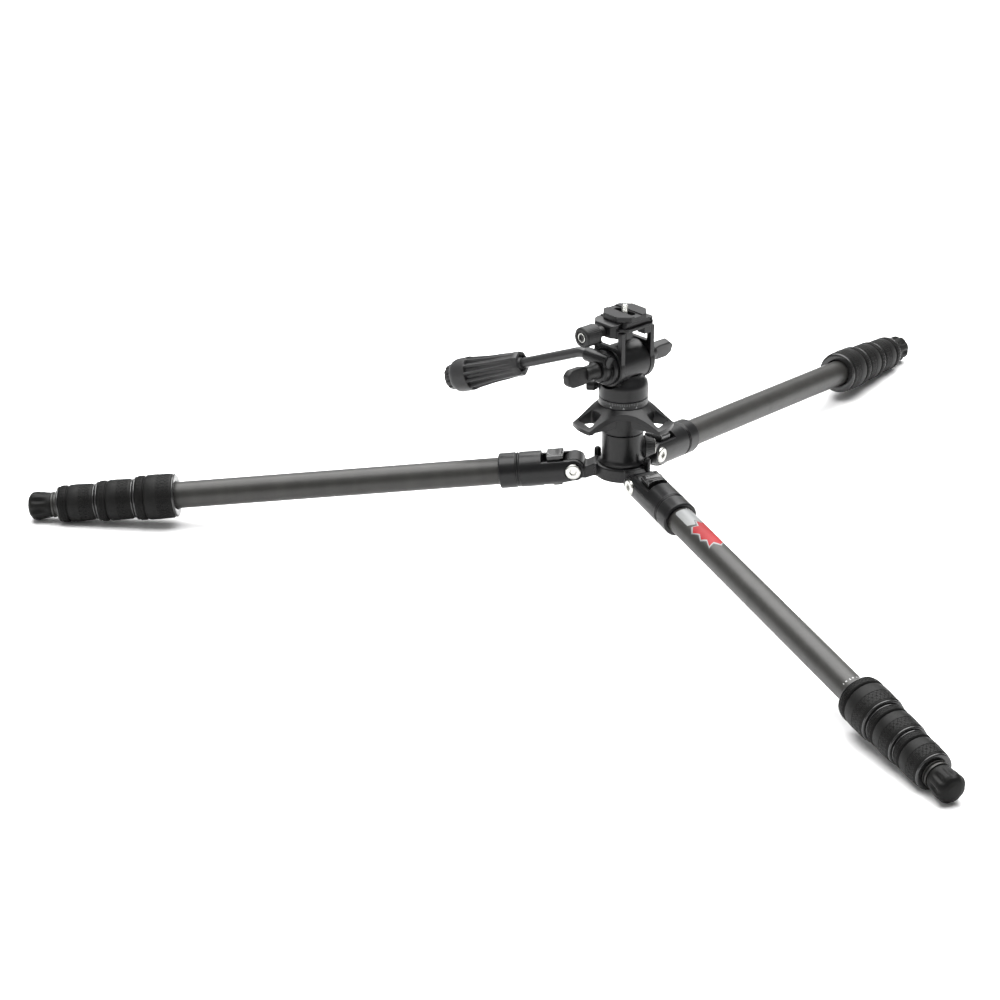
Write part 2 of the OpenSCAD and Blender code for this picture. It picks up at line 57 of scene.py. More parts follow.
# Lengths are in millimetres until a piece is placed. A leg's own frame has X down the leg
# from its pivot, and the head's own frame has its origin on the tilt axle.
MM = 0.001
JOINTS = {joint["name"]: joint for joint in frame["joints"]}
LEGS = ("a", "b", "c")
TO_X = Matrix.Rotation(math.pi / 2, 4, "Y")
TO_BACK_X = Matrix.Rotation(-math.pi / 2, 4, "Y")

PAN_R = 23.5
PAN_SEAM = 73.6
PLATE_TOP = 49.8
PADS_TOP = 51.0

# Leg sections and twist locks, from the hinge outwards.
TUBE_R = (13.0, 11.15, 9.3, 7.45)
TUBE_WALL = 1.3
TUBE_START = (36.2, 52.0, 60.0, 68.0)
LOCK_AT = (387.0, 428.0, 466.0)
LOCK_LEN = (40.5, 37.5, 38.5)
GRIP_R = (22.0, 20.0, 18.2)
TREAD_CELLS = (34, 32, 30)
FOOT_AT = 510.5
FLANGE_R = 12.5

# The pan handle: how far it turns out and down, and the bent tube.
HANDLE_OUT = math.radians(19.6)
HANDLE_DROOP = math.radians(20.5)
HANDLE_R = 4.98
HANDLE_BEND_R = 25.0
HANDLE_BARE = 60.0

# Printed marks, as heights along the tube and angles round it in degrees.
STICKER_TURN = 150.0
LOW_MARKS = (375.0, 105.0, 9)
HIGH_MARKS = (72.2, 100.0, 5)

# The camera, in the row frame.
CAMERA_AT = (-1.8517, -1.8826, 0.9775)
CAMERA_TURN = math.radians(48)
CAMERA_DOWN = math.radians(23.94)
CAMERA_LENS = 108.4
LIGHTS_AIM = (0, 0, -0.1)
WORLD_LIGHT = 0.3


# ---------------------------------------------------------------- places

def joint_point(name):
    """Where a joint is, in metres in the row frame."""
    return Vector(JOINTS[name]["pos_m"])


def joint_axis(name):
    """The unit vector that a joint turns about or slides along."""
    return Vector(JOINTS[name]["axis"]).normalized()


def from_axes(x, y, origin):
    """The frame with those X and Y axes at that origin."""
    place = Matrix((x, y, x.cross(y))).transposed().to_4x4()
    place.translation = origin
    return place


def leg_place(leg):
    """A leg's own frame: X along the way its sections slide, Y along its hinge."""
    return from_axes(joint_axis(f"leg_{leg}_slide_2"), joint_axis(f"leg_{leg}_fold"),
                     joint_point(f"leg_{leg}_fold"))


PIVOT_Z = joint_point("leg_a_fold").z
COLUMN = Matrix.Translation((0, 0, PIVOT_Z))
HEAD = Matrix.Translation(joint_point("tilt"))
LEG = {leg: leg_place(leg) for leg in LEGS}


def shift(x=0.0, y=0.0, z=0.0):
    """A move by millimetres."""
    return Matrix.Translation((x * MM, y * MM, z * MM))


# ---------------------------------------------------------------- materials

def new_material(name):
    """A node material, with what its makers need to add to it."""
    material = bpy.data.materials.new(name)
    material.use_nodes = True
    nodes = material.node_tree.nodes
    shader = nodes["Principled BSDF"]
    coords = nodes.new("ShaderNodeTexCoord")
    return material, nodes, material.node_tree.links, shader, coords


def noise(nodes, links, coords, scale, detail, stretch=(1, 1, 1)):
    """A noise value over the object's own coordinates."""
    mapping = nodes.new("ShaderNodeMapping")
    mapping.inputs["Scale"].default_value = stretch
    texture = nodes.new("ShaderNodeTexNoise")
    texture.inputs["Scale"].default_value = scale
    texture.inputs["Detail"].default_value = detail
    links.new(coords.outputs["Object"], mapping.inputs["Vector"])
    links.new(mapping.outputs["Vector"], texture.inputs["Vector"])
    return texture.outputs["Fac"]


def spread(nodes, links, factor, low, high):
    """The noise's middle part stretched over the values from low to high."""
    ranged = nodes.new("ShaderNodeMapRange")
    ranged.inputs["From Min"].default_value = 0.3
    ranged.inputs["From Max"].default_value = 0.7
    ranged.inputs["To Min"].default_value = low
    ranged.inputs["To Max"].default_value = high
    links.new(factor, ranged.inputs["Value"])
    return ranged.outputs["Result"]


def blend_colours(nodes, links, factor, first, second):
    """A colour between first and second, chosen by the noise."""
    ramp = nodes.new("ShaderNodeValToRGB")
    ramp.color_ramp.elements[0].position = 0.3
    ramp.color_ramp.elements[0].color = (*first, 1)
    ramp.color_ramp.elements[1].position = 0.7
    ramp.color_ramp.elements[1].color = (*second, 1)
    links.new(factor, ramp.inputs["Fac"])
    return ramp.outputs["Color"]


def bump(nodes, links, shader, height, distance):
    """Fine grain in the surface, distance metres deep."""
    node = nodes.new("ShaderNodeBump")
    node.inputs["Strength"].default_value = 0.5
    node.inputs["Distance"].default_value = distance
    links.new(height, node.inputs["Height"])
    links.new(node.outputs["Normal"], shader.inputs["Normal"])


def grained(name, dark, light, rough, grain, depth,
            metal=0.0, stretch=(1, 1, 1), patch_scale=40.0, shine=0.5):
    """A finish whose colour, gloss and surface all vary a little: paint, anodising, plastic or rubber.
    Grain and patch_scale are the scales of the fine and the broad noise."""
    material, nodes, links, shader, coords = new_material(name)
    shader.inputs["Metallic"].default_value = metal
    shader.inputs["Specular IOR Level"].default_value = shine
    broad = noise(nodes, links, coords, patch_scale, 4.0, stretch)
    fine = noise(nodes, links, coords, grain, 5.0, stretch)
    links.new(blend_colours(nodes, links, broad, dark, light), shader.inputs["Base Color"])
    links.new(spread(nodes, links, fine, rough[0], rough[1]), shader.inputs["Roughness"])
    bump(nodes, links, shader, fine, depth)
    return material


CASTING = grained("black_powder_coat", (0.003, 0.003, 0.0033), (0.006, 0.006, 0.0063),
                  (0.28, 0.4), 1500, 0.00005, shine=0.27)
TUBE = grained("anodised_tube", (0.020, 0.0195, 0.018), (0.028, 0.027, 0.025),
               (0.36, 0.46), 2600, 0.00003, 0.2, (0.06, 1, 1), 60, 0.4)
GLOSS = grained("glossy_black_ring", (0.010, 0.010, 0.010), (0.014, 0.014, 0.014),
                (0.16, 0.26), 900, 0.00001)
PLASTIC = grained("moulded_plastic", (0.005, 0.005, 0.005), (0.009, 0.009, 0.009),
                  (0.36, 0.48), 2200, 0.00007, shine=0.28)
RUBBER = grained("sleeve_rubber", (0.004, 0.004, 0.0038), (0.008, 0.008, 0.0077),
                 (0.42, 0.58), 1800, 0.00012, shine=0.11)
GRIP = grained("grip_rubber", (0.010, 0.010, 0.0103), (0.016, 0.016, 0.0165),
               (0.4, 0.55), 2000, 0.0001, shine=0.36)
PAD = grained("pad_rubber", (0.014, 0.014, 0.0145), (0.020, 0.020, 0.0205),
              (0.6, 0.75), 2400, 0.00008)
PAINT = grained("handle_paint", (0.011, 0.011, 0.0115), (0.016, 0.016, 0.0165),
                (0.26, 0.36), 1600, 0.00003, shine=0.4)
STEEL = grained("bright_steel", (0.42, 0.42, 0.40), (0.54, 0.54, 0.51),
                (0.2, 0.32), 1400, 0.00001, 1.0)
WHITE_PRINT = grained("white_print", (0.30, 0.30, 0.30), (0.38, 0.38, 0.38),
                      (0.45, 0.55), 1500, 0.00001)
GREY_PRINT = grained("grey_print", (0.15, 0.155, 0.155), (0.19, 0.195, 0.195),
                     (0.3, 0.4), 1500, 0.00001)
RED_PRINT = grained("red_print", (0.20, 0.006, 0.009), (0.26, 0.011, 0.014),
                    (0.4, 0.5), 1500, 0.00001, shine=0.2)
DARK_PRINT = grained("dark_print", (0.02, 0.02, 0.02), (0.03, 0.03, 0.03),
                     (0.3, 0.4), 1500, 0.00001)


# ---------------------------------------------------------------- making pieces

def sharpen(bm, angle):
    """Smooth shading, with edges sharper than angle degrees left hard."""
    bmesh.ops.recalc_face_normals(bm, faces=bm.faces)
    for face in bm.faces:
        face.smooth = True
    for edge in bm.edges:
        edge.smooth = not (edge.is_manifold and edge.calc_face_angle() > math.radians(angle))


def piece(name, bm, place, body, material, nodes=(), angle=38.0, own_frame=False):
    """Makes an object of bm, whose points are millimetres in the frame that place gives.
    Its textures run along the row frame, or along its own frame if it keeps that."""
    sharpen(bm, angle)
    mesh = bpy.data.meshes.new(name)
    bm.transform((Matrix.Identity(4) if own_frame else place) @ Matrix.Scale(MM, 4))
    bm.to_mesh(mesh)
    bm.free()
    mesh.materials.append(material)
    made = bpy.data.objects.new(name, mesh)
    bpy.context.scene.collection.objects.link(made)
    if own_frame:
        made.matrix_world = place
    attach(made, body)
    if nodes:
        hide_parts(*nodes)
    return made


def soften(made, width, segments):
    """Rounds a piece's sharp edges by width millimetres."""
    bevel = made.modifiers.new("edges", "BEVEL")
    bevel.width = width * MM
    bevel.segments = segments
    bevel.limit_method = "ANGLE"
    bevel.angle_limit = math.radians(30)
    bevel.use_clamp_overlap = False
    normals = made.modifiers.new("normals", "WEIGHTED_NORMAL")
    normals.keep_sharp = False
    return made


def cad_mesh(node, place):
    """A CAD node's mesh, cleaned of doubled points and flat triangles, in millimetres in place's frame."""
    bm = bmesh.new()
    bm.from_mesh(frame["nodes"][node].data)
    for layer in list(bm.loops.layers.float_vector.values()):
        bm.loops.layers.float_vector.remove(layer)
    bm.transform(Matrix.Scale(1000, 4) @ place.inverted())
    bmesh.ops.remove_doubles(bm, verts=bm.verts, dist=0.002)
    bmesh.ops.dissolve_limit(bm, angle_limit=math.radians(0.7), verts=bm.verts, edges=bm.edges)
    bmesh.ops.connect_verts_concave(bm, faces=bm.faces)
    return bm


def from_cad(node, place, body, material, width=0.4, segments=2):
    """A CAD node's own shape with its sharp edges rounded."""
    bm = cad_mesh(node, place)
    made = piece(f"{node}_look", bm, place, body, material, [node])
    stored = made.data.attributes.get("custom_normal")
    if stored:
        made.data.attributes.remove(stored)
    return soften(made, width, segments)


def plain(height, angle, radius):
    """The shape of a lathed piece that is round all over."""
    return radius


def lathe(profile, count, shape=plain, closed=False):
    """Turns an outline of (height, radius) round Z. Shape may change the radius by height and angle."""
    bm = bmesh.new()
    rings = []
    for height, radius in profile:
        if radius < 1e-6:
            rings.append([bm.verts.new((0, 0, height))])
            continue
        ring = []
        for i in range(count):
            a = 2 * math.pi * i / count
            r = shape(height, a, radius)
            ring.append(bm.verts.new((r * math.cos(a), r * math.sin(a), height)))
        rings.append(ring)
    pairs = list(zip(rings, rings[1:]))
    if closed:
        pairs.append((rings[-1], rings[0]))
    for first, second in pairs:
        for i in range(count):
            j = (i + 1) % count
            corners = [first[i % len(first)], first[j % len(first)],
                       second[j % len(second)], second[i % len(second)]]
            corners = list(dict.fromkeys(corners))
            if len(corners) > 2:
                bm.faces.new(corners)
    return bm


def inset_outline(points, width):
    """The outline moved inwards by width, with its corners mitred. Its points run anticlockwise."""
    moved = []
    for k, point in enumerate(points):
        before = (Vector(point) - Vector(points[k - 1])).normalized()
        after = (Vector(points[(k + 1) % len(points)]) - Vector(point)).normalized()
        left = Vector((-before.y, before.x)) + Vector((-after.y, after.x))
        share = max(0.35, left.length_squared / 2)
        moved.append(Vector(point) + left * (width / share))
    return moved


def slab(points, low, high, edge, steps=4):
    """A plate of that outline from height low to high, with its rims rounded by edge."""
    bm = bmesh.new()
    rings = []
    for base, sign in ((low, 1), (high, -1)):
        part = []
        for k in range(steps + 1):
            a = math.pi / 2 * k / steps
            width, rise = edge * (1 - math.sin(a)), edge * (1 - math.cos(a))
            outline = inset_outline(points, width)
            part.append([bm.verts.new((x, y, base + sign * rise)) for x, y in outline])
        rings += part if sign > 0 else part[::-1]
    count = len(points)
    for first, second in zip(rings, rings[1:]):
        for i in range(count):
            j = (i + 1) % count
            bm.faces.new((first[i], first[j], second[j], second[i]))
    bm.faces.new(rings[0][::-1])
    bm.faces.new(rings[-1])
    return bm


def round_corners(points, radius, steps=4):
    """The outline with each corner cut back by radius and rounded with a quadratic curve."""
    out = []
    for k, point in enumerate(points):
        b = Vector(point)
        a, c = Vector(points[k - 1]), Vector(points[(k + 1) % len(points)])
        first = b + (a - b).normalized() * min(radius, (a - b).length * 0.45)
        last = b + (c - b).normalized() * min(radius, (c - b).length * 0.45)
        for i in range(steps + 1):
            t = i / steps
            out.append(first * (1 - t) ** 2 + b * 2 * t * (1 - t) + last * t * t)
    return out


def resampled(profile, step):
    """The same outline with points at most step apart."""
    points = [profile[0]]
    for (h0, r0), (h1, r1) in zip(profile, profile[1:]):
        parts = max(1, math.ceil(math.hypot(h1 - h0, r1 - r0) / step))
        points += [(h0 + (h1 - h0) * k / parts, r0 + (r1 - r0) * k / parts)
                   for k in range(1, parts + 1)]
    return points


def patch(bm, radius, low, high, start, end, thick=0.06, across=None):
    """A thin printed mark on a cylinder round Z, from height low to high and angle start to end.
    Across gives its half share of the width at the low and high edge, for a triangle."""
    steps = max(1, math.ceil(math.degrees(end - start) / 4))
    near, far = across or (1, 1)
    middle, half = (start + end) / 2, (end - start) / 2
    rows = []
    for height, share in ((low, near), (high, far)):
        for r in (radius - 0.1, radius + thick):
            rows.append([bm.verts.new((r * math.cos(a), r * math.sin(a), height))
                         for a in (middle + share * half * (2 * k / steps - 1) for k in range(steps + 1))])
    inner_low, outer_low, inner_high, outer_high = rows
    for k in range(steps):
        for a, b in ((outer_low, outer_high), (outer_high, inner_high), (inner_high, inner_low),
                     (inner_low, outer_low)):
            bm.faces.new((a[k], a[k + 1], b[k + 1], b[k]))
    for k in (0, steps):
        bm.faces.new((outer_low[k], outer_high[k], inner_high[k], inner_low[k]))


# ---------------------------------------------------------------- legs

def tube(leg, n):
    """One section of leg tube; the last also has the flange that its foot stands on."""
    place = LEG[leg] @ TO_X
    low = TUBE_START[n]
    outer, inner = TUBE_R[n], TUBE_R[n] - TUBE_WALL
    if n < 3:
        high = LOCK_AT[n] + 20
        profile = [(low, inner), (low, outer - 0.2), (low + 0.2, outer), (high - 0.2, outer),
                   (high, outer - 0.2), (high, inner)]
    else:
        flange = FOOT_AT - 5.6
        profile = [(low, inner), (low, outer), (flange, outer), (flange, 11.9),
                   (flange + 0.6, FLANGE_R), (flange + 1.6, FLANGE_R),
                   (flange + 1.9, 11.2), (flange + 3.4, 11.2),
                   (flange + 3.7, FLANGE_R), (FOOT_AT - 0.1, FLANGE_R),
                   (FOOT_AT - 0.1, outer), (FOOT_AT + 12, outer),
                   (FOOT_AT + 12, 5), (FOOT_AT, 5), (FOOT_AT - 1, inner)]
    node = f"leg_{leg}_tube_{n + 1}"
    body = f"leg_{leg}" if n == 0 else f"leg_{leg}_section_{n + 1}"
    return piece(f"{node}_look", lathe(profile, 96, closed=True), place, body, TUBE, [node],
                 own_frame=True)


def cell_faces(bm, low, high):
    """The outward faces of a band between two heights."""
    return [face for face in bm.faces
            if low < face.calc_center_median().z < high and abs(face.normal.z) < 0.5]


def raise_tread(bm, low, high, height):
    """Splits each cell of a band into four triangles and lifts each of them, with a groove between."""
    bm.normal_update()
    split = bmesh.ops.poke(bm, faces=cell_faces(bm, low, high))
    for vert in split["verts"]:
        flat = Vector((vert.co.x, vert.co.y, 0))
        vert.co += flat.normalized() * 0.06
    bmesh.ops.inset_individual(bm, faces=split["faces"], thickness=0.34, depth=height)


def grip_profile(n):
    """A rubber sleeve's closed outline, and the bands of it that carry tread."""
    r, length = GRIP_R[n], LOCK_LEN[n]
    core, low, high = r - 2.55, 2.05, length - 2.05
    base = r - 0.42
    seam = high - 9
    profile = [(low, core), (low, base - 1.5), (low + 0.5, base - 1.0), (low + 1.6, base - 0.5)]
    treads = []
    step = (seam - low) * 0.22
    start = low + 2.4
    for k in range(2):
        first, last = start + k * step, start + (k + 1) * step - 0.01
        profile += [(first, base - 0.22 + 0.1 * k), (last, base - 0.12 + 0.1 * k)]
        treads.append((first, last))
    smooth_from = start + 2 * step
    profile += [(smooth_from + 0.5, r - 0.05), (smooth_from + 0.3 * (seam - smooth_from), r),
                (seam - 2.0, r - 0.15), (seam - 0.8, r - 0.6), (seam - 0.1, r - 1.3),
                (seam + 0.15, r - 2.1), (seam + 0.75, r - 2.1), (seam + 1.0, base - 1.0),
                (seam + 1.6, base - 0.35)]
    narrow = (seam + 2.0, high - 1.9)
    middle = (narrow[0] + narrow[1]) / 2
    profile += [(narrow[0], base - 0.1), (middle, base), (narrow[1], base - 0.12),
                (high - 1.3, base - 0.4), (high - 0.4, base - 1.0), (high, base - 1.5), (high, core)]
    treads += [(narrow[0], middle), (middle, narrow[1])]
    return profile, treads


def lock_grip(leg, n):
    """A twist lock's rubber sleeve: a wide band and a narrow band with a groove between, both with tread.
    The third leg's sleeves are the other way round."""
    profile, treads = grip_profile(n)
    bm = lathe(profile, TREAD_CELLS[n], closed=True)
    bmesh.ops.recalc_face_normals(bm, faces=bm.faces)
    for first, last in treads:
        raise_tread(bm, first, last, 0.28)
    place = LEG[leg] @ TO_X @ shift(z=LOCK_AT[n])
    if leg == "c":
        place = place @ shift(z=LOCK_LEN[n]) @ Matrix.Rotation(math.pi, 4, "X")
    node = f"leg_{leg}_grip_{n + 1}"
    return piece(f"{node}_look", bm, place, f"leg_{leg}_lock_{n + 1}", RUBBER,
                 [node], 24)


def lock_collar(leg, n):
    """The collar under the sleeve, whose polished rims show at both ends."""
    r, length = GRIP_R[n], LOCK_LEN[n]
    rim, core = r - 0.95, r - 2.65
    upper, lower = TUBE_R[n] + 0.35, TUBE_R[n + 1] + 0.35
    seat = 20.6
    profile = [(3.0, upper), (0.9, upper + 0.2), (0.2, upper + 1.0), (0, upper + 1.6), (0, rim - 1.6),
               (0.25, rim - 0.7), (0.9, rim - 0.1), (1.6, rim), (2.0, rim - 0.3), (2.0, core),
               (length - 2, core), (length - 2, rim - 0.3), (length - 1.6, rim),
               (length - 0.9, rim - 0.1), (length - 0.25, rim - 0.7), (length, rim - 1.6),
               (length, lower + 3.2), (length - 0.5, lower + 2.2), (length - 2.6, lower + 1.4),
               (length - 3.0, lower), (seat, lower), (seat, upper)]
    node = f"leg_{leg}_lock_{n + 1}"
    place = LEG[leg] @ TO_X @ shift(z=LOCK_AT[n])
    return piece(f"{node}_look", lathe(profile, 72, closed=True), place, node, GLOSS,
                 [node], 50)


def foot_shape(height, angle, radius):
    """Eight scallops that are deepest at the foot's widest part and gone at its neck and its tip."""
    depth = math.sin(math.pi * min(1, max(0, (height - 3) / 20))) ** 1.4
    flute = max(0.0, math.cos(4 * angle) ** 2 * 1.6 - 0.6)
    return radius - 2.3 * depth * flute


def foot(leg):
    """A leg's rubber foot, bored to go over the end of the last section."""
    bore = TUBE_R[3] + 0.05
    outside = [(0, 11.0), (0.5, 11.5), (1.6, 12.1), (6, 12.6), (12, 13.5), (15.5, 13.85), (18.5, 13.6),
               (21, 12.3), (22.8, 9.9), (23.9, 6.4), (24.15, 3)]
    profile = [(0, bore)] + resampled(outside, 0.9) + [(24.2, 0)]
    bm = lathe(profile, 96, foot_shape)
    edge = [e for e in bm.edges if e.is_boundary]
    rim = bmesh.ops.extrude_edge_only(bm, edges=edge)["geom"]
    ring = [v for v in rim if isinstance(v, bmesh.types.BMVert)]
    bmesh.ops.translate(bm, vec=(0, 0, 12.05), verts=ring)
    bmesh.ops.holes_fill(bm, edges=[e for e in bm.edges if e.is_boundary], sides=0)
    node = f"leg_{leg}_foot"
    place = LEG[leg] @ TO_X @ shift(z=FOOT_AT)
    return piece(f"{node}_look", bm, place, f"leg_{leg}_section_4", RUBBER,
                 [node], 55)


def dashes(name, at, first, count):
    """Short white printed marks round the third leg's first tube, in place of lettering."""
    bm = bmesh.new()
    for k in range(count):
        a = math.radians(first + 15 * k)
        patch(bm, TUBE_R[0], at, at + (1.6 if k % 3 else 2.4), a, a + math.radians(7 if k % 2 else 4))
    return piece(name, bm, LEG["c"] @ TO_X, "leg_c", WHITE_PRINT)


def wrapped(name, outline, thick, material):
    """One layer of the sticker: an outline of (distance along, distance round) bent onto leg c's tube."""
    place = LEG["c"] @ TO_X @ Matrix.Rotation(math.radians(STICKER_TURN), 4, "Z")
    radius = TUBE_R[0]
    bm = bmesh.new()
    bm.faces.new([bm.verts.new((u, v, 0)) for u, v in outline])
    low, high = min(v for u, v in outline), max(v for u, v in outline)
    steps = int((high - low) / 1.2)
    for k in range(1, steps):
        level = low + (high - low) * k / steps
        geometry = bm.verts[:] + bm.edges[:] + bm.faces[:]
        bmesh.ops.bisect_plane(bm, geom=geometry, plane_co=(0, level, 0), plane_no=(0, 1, 0))
    bmesh.ops.triangulate(bm, faces=bm.faces)
    top = bmesh.ops.extrude_face_region(bm, geom=bm.faces[:])["geom"]
    for vert in [v for v in top if isinstance(v, bmesh.types.BMVert)]:
        vert.co.z = thick
    for vert in bm.verts:
        along, round_, lift = vert.co
        a = round_ / radius
        vert.co = ((radius + lift - 0.03) * math.cos(a), (radius + lift - 0.03) * math.sin(a), along)
    return piece(name, bm, place, "leg_c", material, angle=60)


def sticker():
    """A generic sticker below the casting of the third leg: a grey panel and a jagged red flash."""
    panel = [(74, -14), (76, -15), (97, -14), (103, -4), (99, 3), (102, 10), (98, 16),
             (76, 16), (74, 15)]
    flash = [(96, -7), (101, -10), (103, -16), (108, -12), (112, -14), (114, -21), (118, -17), (122, -18),
             (133, -27), (129, -17), (132, -12), (138, -8), (134, -3), (142, 5), (136, 9), (138, 15),
             (129, 12), (124, 16), (117, 13), (110, 17), (104, 13), (106, 8), (98, 6), (101, 1), (95, -2)]
    middle = Vector((117, -2))
    grown = [tuple(middle + (Vector(p) - middle) * 1.09) for p in flash]
    dark = [tuple(middle + (Vector(p) - middle) * 1.15) for p in flash]
    wrapped("sticker_panel", panel, 0.05, GREY_PRINT)
    wrapped("sticker_shadow", dark, 0.07, DARK_PRINT)
    wrapped("sticker_border", grown, 0.09, GREY_PRINT)
    wrapped("sticker_flash", flash, 0.11, RED_PRINT)


def legs():
    """The three legs, and the printed marks on the third."""
    for leg in LEGS:
        body = f"leg_{leg}"
        from_cad(f"{body}_fork", LEG[leg], body, CASTING, 0.35)
        from_cad(f"{body}_tab", LEG[leg], f"{body}_tab", GLOSS, 0.4)
        for n in range(4):
            tube(leg, n)
        for n in range(3):
            lock_collar(leg, n)
            lock_grip(leg, n)
        foot(leg)
    dashes("leg_c_marks_low", *LOW_MARKS)
    dashes("leg_c_marks_high", *HIGH_MARKS)
    sticker()


# ---------------------------------------------------------------- column

def pan_scale():
    """The printed scale round the pan ring: fine ticks under the seam and three triangles in front."""
    bm = bmesh.new()
    for k in range(90):
        a = math.radians(4 * k)
        tall = 2.4 if k % 5 else 3.2
        patch(bm, PAN_R, PAN_SEAM - tall, PAN_SEAM, a, a + math.radians(0.55), 0.04)
    for turn in (-164, -133, -102):
        a = math.radians(turn)
        patch(bm, PAN_R, 68.4, 70.2, a - math.radians(2.6), a + math.radians(2.6), 0.04, (1, 0.06))
    piece("pan_scale", bm, COLUMN, "column", GREY_PRINT)


def column_knob():
    """A cone with shallow ribs, and a thin bright steel ring round its outer face that is a painted
    highlight on the rounded edge of that face.
    """
    def ribs(height, angle, radius):
        if 21.6 < height < 30.6 and radius > 6.8:
            return radius - 0.12 - 0.12 * math.cos(26 * angle)
        return radius
    profile = [(14.4, 0), (14.4, 3), (20.6, 3), (20.6, 10.1), (20.8, 10.6), (21.3, 10.85), (22, 10.6),
               (24.5, 9.6), (27.5, 8.4), (30.4, 7.3), (30.9, 6.9), (31.3, 6.7), (31.5, 6.3),
               (31.3, 5.6), (30.8, 4.6), (30.8, 0)]
    place = COLUMN @ Matrix.Rotation(math.radians(-35), 4, "Z") @ shift(z=20) @ TO_X
    piece("column_knob_look", lathe(profile, 156, ribs), place, "column_knob", PLASTIC,
          ["column_knob"], 40)
    # Painted highlight: a bright steel ring stands where the knob's outer edge only catches the light.
    ring = [(30.75, 6.75), (30.8, 7.15), (31.2, 6.98), (31.35, 6.75), (31.1, 6.5)]
    piece("column_knob_painted_highlight_ring", lathe(ring, 96, closed=True), place, "column_knob", STEEL)


def column():
    """The spider, the column's sleeve and knob, and what stands on the column."""
    from_cad("spider", COLUMN, "base", CASTING, 1.1, 3)
    from_cad("pivot_bolts", COLUMN, "base", STEEL, 0.5, 3)
    from_cad("column_sleeve", COLUMN, "base", CASTING, 0.3)
    column_knob()
    from_cad("lug_plate", COLUMN, "column", CASTING, 0.3)
    from_cad("pan_ring", COLUMN, "column", CASTING, 0.25)
    pan_scale()


# ---------------------------------------------------------------- head

def clamp_knob():
    """A fluted knob with a bright ring round the hexagon socket of its screw."""
    def flutes(height, angle, radius):
        if 36.6 < height < 51.5 and radius > 9:
            return radius - 0.16 - 0.16 * math.cos(40 * angle)
        return radius
    profile = [(9, 0), (9, 2.5), (26.6, 2.5), (26.6, 5), (35, 5), (35, 8.6), (36.4, 9.9),
               (37.0, 10), (51, 10), (52.0, 9.9), (53.1, 9.0), (53.4, 8.2), (53.3, 6.6),
               (52.3, 6.2), (52.3, 3.4), (52.3, 0)]
    place = HEAD @ shift(y=2.5, z=36) @ TO_BACK_X
    piece("clamp_knob_look", lathe(profile, 160, flutes), place, "clamp_knob", PLASTIC,
          ["clamp_knob"], 40)

    def hexagon(height, angle, radius):
        if radius > 2.4:
            return radius
        return radius * math.cos(math.pi / 6) / math.cos(angle % (math.pi / 3) - math.pi / 6)
    head = [(52.0, 0), (52.0, 4.2), (52.8, 4.2), (52.9, 4.0), (52.9, 2.3), (50.2, 2.3), (50.2, 0)]
    piece("clamp_knob_screw", lathe(head, 72, hexagon), place, "clamp_knob", CASTING)
    ring = [(52.2, 3.6), (52.2, 4.5), (53.1, 4.5), (53.3, 4.3), (53.3, 3.9), (53.1, 3.6)]
    piece("clamp_knob_ring", lathe(ring, 72, closed=True), place, "clamp_knob", STEEL)


def wing_knob(node, place, base_r, hub_r, hub_end, end, half, thick):
    """A tapered hub with a flat wing on it, both rounded, and a shallow ring on each face of the wing."""
    hub = [(0, 4.2), (0, base_r - 0.5), (0.15, base_r - 0.1), (0.6, base_r), (1.3, base_r)]
    for k in range(7):
        t = k / 6
        hub.append((1.5 + (hub_end * 0.6 - 1.5) * t, base_r + (hub_r - base_r) * (1 - (1 - t) ** 2)))
    hub += [(hub_end, hub_r), (hub_end + 0.6, hub_r - 0.3), (hub_end + 1.0, hub_r - 1.0),
            (hub_end + 1.0, 4.2)]
    bm = lathe(hub, 72, closed=True)
    outline = [(-hub_r + 1.2, hub_end - 4), (hub_r - 1.2, hub_end - 4), (half, hub_end + 5),
               (half, end - 5.5), (half / 2, end), (-half / 2, end), (-half, end - 5.5),
               (-half, hub_end + 5)]
    wing = slab(round_corners(outline, 1.8), -thick / 2, thick / 2, 1.3)
    wing.transform(Matrix.Rotation(math.pi / 2, 4, "X"))
    middle = (hub_end + 5 + end) / 2 - 0.6
    for sign in (-1, 1):
        face = sign * (thick / 2 + 0.02)
        ring = [(face - sign * 0.3, 3.6), (face, 3.8), (face, 4.2), (face - sign * 0.3, 4.4)]
        mark = lathe(ring, 48, closed=True)
        mark.transform(Matrix.Translation((0, 0, middle)) @ Matrix.Rotation(math.pi / 2, 4, "X"))
        join(wing, mark)
    join(bm, wing)
    piece(f"{node}_look", bm, place, node, PLASTIC, [node], 42)


def join(bm, other):
    """Adds other's mesh to bm."""
    mesh = bpy.data.meshes.new("part")
    other.to_mesh(mesh)
    other.free()
    bm.from_mesh(mesh)
    bpy.data.meshes.remove(mesh)


def pads():
    """Two rubber pads with fine ribs that run across the plate."""
    bm = bmesh.new()
    inner, outer, low = 5.0, 18.8, PLATE_TOP + 0.05
    pitch, half = 0.95, 18.2
    rows = int(2 * half / pitch)
    for side in (-1, 1):
        lines = []
        for k in range(2 * rows + 1):
            y = -half + k * pitch / 2
            reach = min(outer, outer + 9 - abs(y))
            top = PADS_TOP - (0.32 if k % 2 == 0 else 0.0)
            lines.append([bm.verts.new((side * x, y, z)) for x, z in
                          ((inner, low), (inner, top), (reach, top), (reach, low))])
        for a, b in zip(lines, lines[1:]):
            for k in range(4):
                j = (k + 1) % 4
                bm.faces.new((a[k], a[j], b[j], b[k]))
        bm.faces.new(lines[0])
        bm.faces.new(lines[-1])
    piece("plate_pads_look", bm, HEAD, "plate", PAD, ["plate_pads"], 20)


